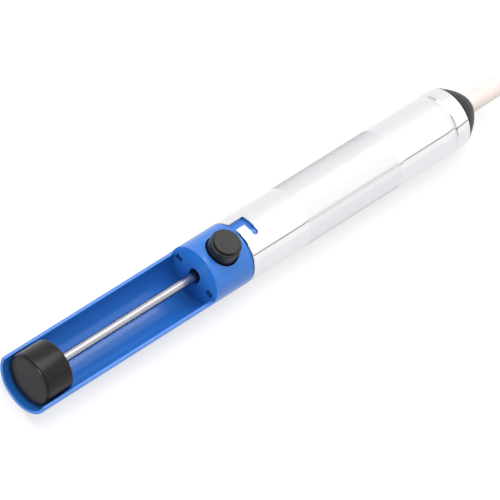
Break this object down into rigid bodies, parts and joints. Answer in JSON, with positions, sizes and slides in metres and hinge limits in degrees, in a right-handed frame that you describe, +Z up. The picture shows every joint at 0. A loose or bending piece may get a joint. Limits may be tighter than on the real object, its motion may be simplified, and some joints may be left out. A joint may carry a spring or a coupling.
{
  "type": "desoldering pump",
  "caption": "Spring-loaded hand vacuum pump for molten solder: blue half-round guard and collar, bright tube with bayonet slot and knurl, black nose cone, pale nozzle.",
  "frame": {"origin": "under the middle of the overall length, on the surface the pump lies on", "axes": "+X along the axis to the nozzle, +Z up through the release button, +Y to the left looking from the knob to the nozzle"},
  "size_m": [0.2, 0.02, 0.0243],
  "materials": {
    "polished_aluminium": "bright, fine diamond knurl on the grip band",
    "blue_plastic": "glossy moulded",
    "black_plastic": "semi-gloss moulded",
    "satin_black_plastic": "satin moulded",
    "ptfe": "waxy, slightly translucent",
    "grey_plastic": "moulded, as cast",
    "seal_rubber": "matt",
    "brass_bush": "turned",
    "bright_steel": "ground and polished",
    "spring_steel": "drawn wire",
    "zinc_steel": "zinc plated"
  },
  "bodies": {
    "barrel": {"barrel_tube": "polished_aluminium", "nose_cap": "black_plastic", "nose_seal_ring": "seal_rubber", "nozzle_tip": "ptfe", "spring_seat_washer": "zinc_steel", "main_spring": "spring_steel"},
    "handle": {"handle_guard": "blue_plastic", "latch_carrier": "satin_black_plastic", "guide_bush": "brass_bush", "bumper_washer": "seal_rubber", "latch_spring": "spring_steel"},
    "button": {"release_button": "black_plastic", "latch_plate": "zinc_steel"},
    "plunger": {"plunger_rod": "bright_steel", "plunger_knob": "satin_black_plastic", "piston_body": "grey_plastic", "piston_o_ring": "seal_rubber", "rod_e_clip": "spring_steel", "piston_washer": "zinc_steel", "piston_nut": "zinc_steel", "cleaning_pin": "bright_steel"}
  },
  "joints": [
    {"name": "barrel_twist", "type": "hinge", "parent": "handle", "child": "barrel", "pos_m": [0, 0, 0.01], "axis": [1, 0, 0], "range_deg": [0, 28.8]},
    {"name": "button_press", "type": "slide", "parent": "handle", "child": "button", "axis": [0, 0, -1], "range_m": [0, 0.0018], "stiffness_N_per_m": 900, "springref_m": -0.0005, "deforming": ["latch_spring"]},
    {"name": "plunger_slide", "type": "slide", "parent": "handle", "child": "plunger", "axis": [1, 0, 0], "range_m": [0, 0.05], "stiffness_N_per_m": 330, "springref_m": -0.012, "deforming": ["main_spring"]}
  ]
}
